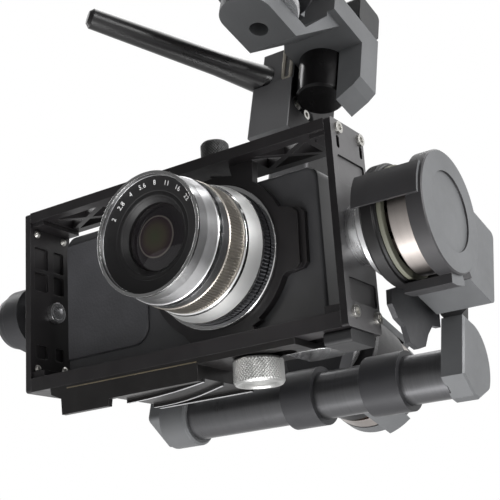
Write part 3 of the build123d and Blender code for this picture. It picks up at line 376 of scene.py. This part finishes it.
cage_black = anodised("cage_black_anodised", BLACK, rough=0.36, metallic=0.2, wear=0.2)
charcoal = anodised("charcoal_anodised", CHARCOAL, rough=0.38, metallic=0.4)
motor_grey = anodised("grey_anodised", GREY, rough=0.46, metallic=0.35)
motor_black = anodised("motor_ring_black", DEEP_BLACK, rough=0.34, metallic=0.3, wear=0.3)
# Painted light and shade: the cap's faces that point to +X take the grey, and its other faces stay
# dark.
cap_painted_light_shade = anodised(
    "motor_cap_painted_light_shade", (0.036, 0.035, 0.037), rough=0.42, wear=0.3, painted_shading=(GREY, painted_shading_side)
)
# Painted shade: the column's faces that point to +X are near black, and its other faces are grey.
column_painted_shade = anodised(
    "column_painted_shade", (0.13, 0.13, 0.134), rough=0.46, wear=0.3, painted_shading=(DEEP_BLACK, painted_shading_side)
)
# Painted light: the right cheek is near black, with its faces that point to +X painted a lighter
# grey.
cheek_painted_key_light = anodised(
    "right_cheek_painted_key_light", (0.010, 0.009, 0.010), rough=0.38, metallic=0.3, wear=0.35,
    painted_shading=((0.10, 0.098, 0.10), painted_shading_side),
)
# Painted highlight: a pale colour on the tray's down-facing ribs.
tray_black = anodised(
    "tray_anodised", (0.013, 0.012, 0.012), rough=0.34, metallic=0.3, wear=0.2,
    painted_shading=((0.42, 0.42, 0.43), tray_rib_painted_highlight),
)
gloss_black = anodised(
    "canister_gloss_black", (0.010, 0.0095, 0.010), rough=0.2, metallic=0.6, wear=0.2
)
CHAMPAGNE = (0.40, 0.365, 0.345)
champagne = turned("bell_champagne_tilt", CHAMPAGNE, TILT_MOTOR, rough=0.34)
champagne_roll = turned("bell_champagne_roll", CHAMPAGNE, ROLL_MOTOR, rough=0.34)
champagne_pan = turned("bell_champagne_pan", CHAMPAGNE, PAN_MOTOR, rough=0.34)
nickel = turned("nickel_screws", (0.56, 0.55, 0.52), MODEL, rough=0.28, pitch=0.25)
ground_steel = turned("ground_steel", (0.66, 0.66, 0.67), TILT_MOTOR, rough=0.24)
tube_black = turned(
    "tube_anodised", (0.10, 0.10, 0.104), TUBE, rough=0.3, metallic=0.85, pitch=0.16
)
board = moulded("winding_board", (0.13, 0.13, 0.10), rough=0.55, grain=2600.0, depth=0.01)
module_plastic = moulded("module_plastic", (0.014, 0.014, 0.015), rough=0.48)
rubber = moulded("damper_rubber", (0.022, 0.022, 0.023), rough=0.68, grain=2200.0, depth=0.02)
camera_paint = moulded(
    "camera_body_paint", (0.05, 0.05, 0.053), rough=0.42, grain=2600.0, depth=0.012
)
camera_skin = moulded("camera_grip_skin", (0.055, 0.055, 0.06), rough=0.5, grain=900.0, depth=0.08)
screen = moulded(
    "screen_gloss", (0.008, 0.008, 0.01), rough=0.14, grain=400.0, depth=0.001, coat=0.8
)
red = moulded("button_red", (0.33, 0.018, 0.016), rough=0.3, grain=2000.0, depth=0.01)
duct = moulded("duct_plastic", (0.014, 0.0135, 0.014), rough=0.3, grain=3000.0, depth=0.008)
lens_black = turned("lens_black", (0.008, 0.0075, 0.008), LENS, rough=0.4, metallic=0.1, pitch=0.3)
copper = windings("stator_copper", (0.22, 0.07, 0.03), (0.62, 0.27, 0.12))
dark_windings = windings("stator_dark", (0.006, 0.006, 0.006), (0.03, 0.022, 0.018))
glass = coated_glass("front_element_coated")
SILVER, POLISHED = (0.72, 0.72, 0.73), (0.9, 0.9, 0.9)
front_silver = barrel(
    "lens_front_silver",
    [
        (-37, POLISHED, 0.14), (-35.6, SILVER, 0.3), (-25.1, POLISHED, 0.12),
        (-23.85, (0.02, 0.02, 0.03), 0.3), (-23.05, (0.5, 0.5, 0.51), 0.28),
        (-19.4, POLISHED, 0.12),
    ],
    (-37, -9),
)
rear_silver = barrel(
    "lens_rear_silver",
    [(-9.6, POLISHED, 0.12), (-7.9, (0.95, 0.95, 0.94), 0.46), (-0.8, POLISHED, 0.14)],
    (-9.6, 0.4),
)
mount_silver = barrel(
    "lens_mount_silver",
    [(0, (0.03, 0.03, 0.032), 0.4), (5.02, POLISHED, 0.14), (6.95, (0.06, 0.06, 0.06), 0.4)],
    (0, 11),
)
focus_metal = turned("focus_ring_metal", (0.42, 0.39, 0.35), LENS, rough=0.36, pitch=0.2)
serration_black = turned("serrations_black", (0.05, 0.05, 0.055), LENS, rough=0.35, pitch=0.3)
bright_metal = turned("thumb_screw_metal", (0.5, 0.5, 0.49), MODEL, rough=0.3, pitch=0.4)
polished_strip = turned("polished_strip", (0.85, 0.85, 0.85), MODEL, rough=0.16, pitch=0.5)
brass_line = turned("brass_line", (0.28, 0.24, 0.17), MODEL, rough=0.35, pitch=0.3)
pale_metal = turned("pale_nickel_strip", (0.62, 0.58, 0.50), MODEL, rough=0.32, pitch=0.4)
knob_metal = anodised("knob_black", (0.012, 0.012, 0.012), rough=0.38, metallic=0.3, wear=0.5)
mark_white = moulded("marking_white", (0.82, 0.82, 0.82), rough=0.5, grain=3000.0, depth=0.002)

FINISHES = {
    cage_black: (
        "cage_top_plate", "cage_bottom_plate", "left_cheek", "lens_brace", "mount_plate",
        "damper_plate",
    ),
    cheek_painted_key_light: ("right_cheek",),
    tray_black: ("accessory_tray",),
    charcoal: ("pan_motor_base", "roll_bracket", "left_arm", "left_bearing_housing", "tube_collar"),
    motor_black: ("tilt_motor_base", "roll_motor_base", "right_arm_link"),
    motor_grey: (
        "pan_motor_cap", "roll_motor_cap", "pan_arm", "right_elbow", "tilt_arm_housing",
        "left_elbow",
    ),
    cap_painted_light_shade: ("tilt_motor_cap",),
    column_painted_shade: ("arm_column",),
    gloss_black: ("wiring_canister",),
    champagne: ("tilt_motor_bell",),
    champagne_roll: ("roll_motor_bell",),
    champagne_pan: ("pan_motor_bell",),
    nickel: ("cage_screws", "arm_screws", "column_screws"),
    ground_steel: (
        "tilt_rotor_shaft", "roll_rotor_shaft", "pan_rotor_shaft", "left_pivot",
        "tilt_bearings", "roll_bearings", "pan_bearings",
    ),
    tube_black: ("roll_tube",),
    board: ("tilt_winding_board",),
    module_plastic: ("imu_module", "control_module", "pan_slip_ring"),
    rubber: ("vibration_dampers",),
    camera_paint: ("camera_body",),
    camera_skin: ("camera_grip",),
    screen: ("camera_screen",),
    red: ("record_button",),
    duct: ("cable_duct",),
    lens_black: ("name_ring",),
    copper: ("roll_stator", "pan_stator"),
    dark_windings: ("tilt_stator",),
    glass: ("front_glass",),
    front_silver: ("lens_front_barrel",),
    rear_silver: ("lens_rear_barrel",),
    mount_silver: ("lens_mount_ring",),
    focus_metal: ("focus_ring",),
    bright_metal: ("thumb_screw",),
    knob_metal: ("top_knob",),
}
for material, names in FINISHES.items():
    for name in names:
        slots = NODES[name].data.materials
        slots.clear()
        slots.append(material)

# ======================================================================================
# Meshes
# ======================================================================================


def piece(name, space, verts, faces, material, body, slot, replaces=(), smooth=0):
    """A mesh given in a local frame, in millimetres, riding on a body."""
    mesh = bpy.data.meshes.new(name)
    mesh.from_pydata([space @ (Vector(v) * MM) for v in verts], [], faces)
    tidy = bmesh.new()
    tidy.from_mesh(mesh)
    bmesh.ops.recalc_face_normals(tidy, faces=tidy.faces)
    tidy.to_mesh(mesh)
    tidy.free()
    mesh.materials.append(material)
    made = bpy.data.objects.new(name, mesh)
    bpy.context.scene.collection.objects.link(made)
    if smooth:
        for face in mesh.polygons:
            face.use_smooth = True
        mesh.set_sharp_from_angle(angle=math.radians(smooth))
    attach(made, body)
    if replaces:
        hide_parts(*replaces)
    return made


def wound(profile, count, radial):
    """Vertices and faces of a closed profile of (radius, z) turned round Z.

    radial(place, step, radius) gives the radius at each profile place and step of the turn.
    """
    verts = []
    for step in range(count):
        angle = 2 * math.pi * step / count
        for place, (radius, z) in enumerate(profile):
            r = radial(place, step, radius)
            verts.append((r * math.cos(angle), r * math.sin(angle), z))
    size = len(profile)
    faces = []
    for step in range(count):
        here, after = step * size, (step + 1) % count * size
        for place in range(size):
            beside = (place + 1) % size
            faces.append((here + place, here + beside, after + beside, after + place))
    return verts, faces


# ---- focus ring: straight ribs between two smooth edges ----

FOCUS_R, FOCUS_ROOT = 25.6, 25.15
FOCUS_TEETH = 132
ribbed = [
    (23.7, -19.0), (25.2, -19.0), (25.5, -18.6), (FOCUS_R, -18.4), (FOCUS_R, -10.2),
    (25.5, -10.0), (25.2, -9.6), (23.7, -9.6),
]
RIBBED_PLACES = (3, 4)


def focus_radius(place, step, radius):
    if place in RIBBED_PLACES and step % 4 >= 2:
        return FOCUS_ROOT
    return radius


verts, faces = wound(ribbed, FOCUS_TEETH * 4, focus_radius)
piece("focus_ring_ribs", LENS, verts, faces, focus_metal, "focus_ring", "focus_grey", ["focus_ring"])

# ---- serrated band at the camera end of the lens ----

SERRATED_TEETH = 120
SERRATED_R, SERRATED_ROOT = 27.75, 27.45
band = [(27.3, 0.3), (SERRATED_R, 0.5), (SERRATED_R, 4.7), (27.3, 4.9)]


def serrated_radius(place, step, radius):
    if place in (1, 2) and step % 4 >= 2:
        return SERRATED_ROOT
    return radius


verts, faces = wound(band, SERRATED_TEETH * 4, serrated_radius)
piece("lens_serrations", LENS, verts, faces, serration_black, "camera_cage", "serrated_black")


# ---- knurled thumb screw and knob ----


def knurled_knob(name, space, ends, low, high, radius, depth, rows, count, **where):
    """A knob with a diamond knurl. ends are the profile points below and above the knurl."""
    heights = [low + (high - low) * row / rows for row in range(rows + 1)]
    below, above = ends
    profile = below + [(radius, z) for z in heights] + above
    first = len(below)

    def radial(place, step, value):
        row = place - first
        if 0 <= row < len(heights):
            return radius if (row + step) % 2 == 0 else radius - depth
        return value

    verts, faces = wound(profile, count, radial)
    split = []
    for face in faces:
        row = face[0] % len(profile)
        if first <= row < first + rows:
            a, b, c, d = face
            step = face[0] // len(profile)
            even = (row - first + step) % 2 == 0
            split += [(a, b, c), (a, c, d)] if even else [(a, b, d), (b, c, d)]
        else:
            split.append(face)
    piece(name, space, verts, split, **where)


THUMB = CAGE @ shifted(34, 10, -44)
knurled_knob(
    "thumb_screw_knurled", THUMB,
    (
        [(0.01, 7.4), (3.1, 7.4), (3.1, 0.0), (8.9, 0.0), (9.6, -0.5)],
        [(9.7, -9.3), (9.2, -10.0), (8.1, -10.0), (7.5, -9.3), (6.6, -8.9), (0.01, -8.7)],
    ),
    -1.0, -8.9, 9.95, 0.32, 11, 96,
    material=bright_metal, body="thumb_screw", slot="knurled_bright", replaces=["thumb_screw"],
)

KNOB = CAGE @ shifted(18, 12, 40.9)
knurled_knob(
    "top_knob_knurled", KNOB,
    (
        [(0.01, -4.6), (2.5, -4.6), (2.5, 0.0), (5.1, 0.0), (5.6, 0.5)],
        [(5.7, 9.1), (5.1, 9.8), (0.01, 9.7)],
    ),
    0.9, 8.6, 5.95, 0.25, 12, 64,
    material=knob_metal, body="top_knob", slot="knob_black", replaces=["top_knob"],
)

# ---- flat pieces: trim on the column's neck, plate under the cage, line on the tray, bracket ----


def strip(name, space, outline, thickness, **where):
    """A flat plate from an outline in a frame's X and Y, raised along the frame's Z."""
    count = len(outline)
    verts = [(x, y, z) for z in (0.0, thickness) for x, y in outline]
    sides = [(k, (k + 1) % count, (k + 1) % count + count, k + count) for k in range(count)]
    ends = [tuple(range(count)), tuple(range(count, 2 * count))]
    piece(name, space, verts, sides + ends, **where)


def half_round(middle, radius, start, steps=10):
    """Points of half a circle, from the start angle in degrees."""
    turns = [math.radians(start + 180 * k / steps) for k in range(steps + 1)]
    return [(middle[0] + radius * math.cos(t), middle[1] + radius * math.sin(t)) for t in turns]


# Local X is the model's X and Y its height, on the front of the neck.
NECK_FRONT = HUB @ shifted(0, 62, 0) @ Matrix.Rotation(QUARTER, 4, "X")
LOOP_MID, LOOP_TOP = (-26.7, 156.9), 175.5
LOOP_R, LOOP_SLOT_R = 3.3, 1.5
loop = []
for radius, order in ((LOOP_R, 1), (LOOP_SLOT_R, -1)):
    bend = half_round(LOOP_MID, radius, 180)
    legs = [(LOOP_MID[0] - radius, LOOP_TOP)] + bend + [(LOOP_MID[0] + radius, LOOP_TOP)]
    loop += legs[::order]
strip(
    "neck_trim_loop", NECK_FRONT, loop, 0.7,
    material=pale_metal, body="pan_frame", slot="bell_silver",
)
UNDER_TONGUE = CAGE @ shifted(0, 0, -43.9)
SLIDE_MID, SLIDE_R, SLIDE_LEFT = (56.0, 22.5), 9.5, 44.5
slide = (
    [(SLIDE_LEFT, SLIDE_MID[1] - SLIDE_R), (SLIDE_MID[0], SLIDE_MID[1] - SLIDE_R)]
    + half_round(SLIDE_MID, SLIDE_R, -90) + [(SLIDE_LEFT, SLIDE_MID[1] + SLIDE_R)]
)
strip(
    "tongue_slide_plate", UNDER_TONGUE, slide, 0.3,
    material=polished_strip, body="camera_cage", slot="lens_silver",
)
TRAY_FRONT = CAGE @ Matrix.Rotation(QUARTER, 4, "X")
strip(
    "tray_seam_line", TRAY_FRONT,
    [(-56.0, -42.5), (12.0, -42.9), (12.0, -42.4), (-56.0, -42.0)], 0.1,
    material=brass_line, body="camera_cage", slot="anodised_black",
)

# Local X is the model's Y, Y its height and Z its X, beside the cage. The bracket hangs from the
# arm's link.
BESIDE_CAGE = HUB @ shifted(67.6, 0, 0) @ Matrix(
    ((0, 0, 1, 0), (1, 0, 0, 0), (0, 1, 0, 0), (0, 0, 0, 1))
)
strip(
    "roll_arm_bracket", BESIDE_CAGE,
    [
        (8, -21.5), (18, -14.5), (33, -12.7), (46.9, -8.0), (49, -18), (42, -20.5), (38.5, -26),
        (36.5, -32), (31, -35.5), (24, -36), (20, -31), (14, -30.5), (9, -27),
    ],
    2.2, material=charcoal, body="roll_frame", slot="anodised_charcoal",
)

# ---- lens markings: plain numbers on the name ring ----

RING_SLOPE = math.atan2(1.2, 5.36)
RING_R, RING_START = 22.66, -34.6   # the face's outer edge
INK = 0.04                          # figures above the face


def on_ring(angle, radius):
    """A frame on the name ring's face: local X along the ring, Y outwards, Z off the surface."""
    lift = RING_START + (RING_R - radius) * math.tan(RING_SLOPE) - INK
    return (
        LENS
        @ Matrix.Rotation(math.radians(angle), 4, "Z")
        @ shifted(radius, 0, lift)
        @ Matrix.Rotation(QUARTER, 4, "Z")
        @ Matrix.Rotation(math.pi, 4, "Y")
        @ Matrix.Rotation(math.pi, 4, "Z")
        @ Matrix.Rotation(RING_SLOPE, 4, "X")
    )


def numerals(text, angle, radius, height):
    """Flat figures, each one its own patch on the ring."""
    curve = bpy.data.curves.new("scale", "FONT")
    curve.body = text
    curve.size = height * MM
    curve.align_x, curve.align_y = "CENTER", "CENTER"
    curve.space_character = 1.1
    shape = bpy.data.objects.new("scale_shape", curve)
    bpy.context.scene.collection.objects.link(shape)
    evaluated = shape.evaluated_get(bpy.context.evaluated_depsgraph_get())
    mesh = bpy.data.meshes.new_from_object(evaluated)
    bpy.data.objects.remove(shape)
    bpy.data.curves.remove(curve)
    mesh.transform(on_ring(angle, radius))
    mesh.materials.clear()
    mesh.materials.append(mark_white)
    return mesh


marks = bmesh.new()
FIGURES = ["2", "2.8", "4", "5.6", "8", "11", "16", "22"]
FIRST_ANGLE, ANGLE_STEP = -150, 17
FIGURE_R, FIGURE_H = 20.1, 2.6
for place, text in enumerate(FIGURES):
    angle = FIRST_ANGLE + place * ANGLE_STEP
    marks.from_mesh(numerals(text, angle, FIGURE_R, FIGURE_H))
marking = bpy.data.meshes.new("lens_numbers")
marks.to_mesh(marking)
marks.free()
marking.materials.append(mark_white)
lens_numbers = bpy.data.objects.new("lens_numbers", marking)
bpy.context.scene.collection.objects.link(lens_numbers)
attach(lens_numbers, "camera_cage")

# ======================================================================================
# Camera, light and floor
# ======================================================================================

VIEW_FROM = Vector((0.24361, -0.30606, -0.42271))
VIEW_ALONG = Vector((-0.52408, 0.68397, 0.50746))
VIEW_UP = Vector((0.21918, -0.46746, 0.85641))
camera_data = bpy.data.cameras.new("camera")
camera_data.lens, camera_data.sensor_width = 79.9, 36.0
camera_data.clip_start = 0.01
camera = bpy.data.objects.new("camera", camera_data)
bpy.context.scene.collection.objects.link(camera)
side_way = VIEW_ALONG.cross(VIEW_UP).normalized()
up_way = side_way.cross(VIEW_ALONG).normalized()
turn = Matrix((side_way, up_way, -VIEW_ALONG.normalized())).transposed()
camera.matrix_world = Matrix.Translation(VIEW_FROM) @ turn.to_4x4()
bpy.context.scene.camera = camera

MIDDLE = (cad_low + cad_high) / 2
FLOOR_DROP, FLOOR_SIZE = 1.25, 12


def area_light(name, place, size, power):
    """A soft rectangular light that faces the middle of the object."""
    data = bpy.data.lights.new(name, "AREA")
    data.shape, data.size, data.size_y = "RECTANGLE", size[0], size[1]
    data.energy = power
    light = bpy.data.objects.new(name, data)
    light.location = MIDDLE + Vector(place)
    light.rotation_euler = (-Vector(place)).to_track_quat("-Z", "Y").to_euler()
    bpy.context.scene.collection.objects.link(light)


# name, place from the middle of the object, size, watts
LIGHTS = [
    ("right_key", (1.3, -0.25, 0.3), (0.8, 0.9), 26),
    ("left_strip", (-1.2, -0.2, 0.5), (0.3, 1.1), 5),
    ("low_soft", (0.1, -0.1, -1.15), (0.9, 0.9), 14),
    ("top_soft", (-0.1, 0.2, 1.4), (1.2, 1.2), 14),
]
for light in LIGHTS:
    area_light(*light)

BACK_LIGHT, FRONT_LIGHT = 0.9, 0.12
FADE_WAY, FADE_REACH = (0.0, -0.97, 0.24), (-0.1, 0.6)

# The backdrop is white. The light from it fades out on the side that the lens looks to.
world = bpy.data.worlds.new("studio")
bpy.context.scene.world = world
world.use_nodes = True
sky = world.node_tree
background = sky.nodes["Background"]


def sky_node(kind, operation=None, *inputs, output=0):
    made = sky.nodes.new("ShaderNode" + kind)
    if operation:
        made.operation = operation
    for socket, value in zip(made.inputs, inputs):
        if isinstance(value, bpy.types.NodeSocket):
            sky.links.new(value, socket)
        else:
            socket.default_value = value
    return made.outputs[output]


direction = sky.nodes.new("ShaderNodeTexCoord").outputs["Generated"]
toward = sky_node("VectorMath", "DOT_PRODUCT", direction, FADE_WAY, output="Value")
fade = sky_node("MapRange", None, toward, *FADE_REACH, BACK_LIGHT, FRONT_LIGHT)
seen = sky.nodes.new("ShaderNodeLightPath").outputs["Is Camera Ray"]
rest = sky_node("Math", "SUBTRACT", 1.0, seen)
lit = sky_node("Math", "MULTIPLY", fade, rest)
strength = sky_node("Math", "ADD", lit, seen)
sky.links.new(strength, background.inputs["Strength"])
background.inputs["Color"].default_value = (1.0, 1.0, 1.0, 1.0)

bpy.ops.mesh.primitive_grid_add(
    x_subdivisions=2, y_subdivisions=2, size=FLOOR_SIZE, location=(0, 0, MIDDLE.z - FLOOR_DROP)
)
floor = bpy.context.object
floor.name = "floor"
floor_look = Look("floor_paper", Roughness=0.8)
floor_tone = floor_look.noise(3.0, 3.0)
floor_look.feed(Base_Color=floor_look.mix(floor_tone, (0.86, 0.86, 0.86), (0.9, 0.9, 0.9)))
floor.data.materials.append(floor_look.material)

bpy.context.scene.view_settings.view_transform = "Standard"
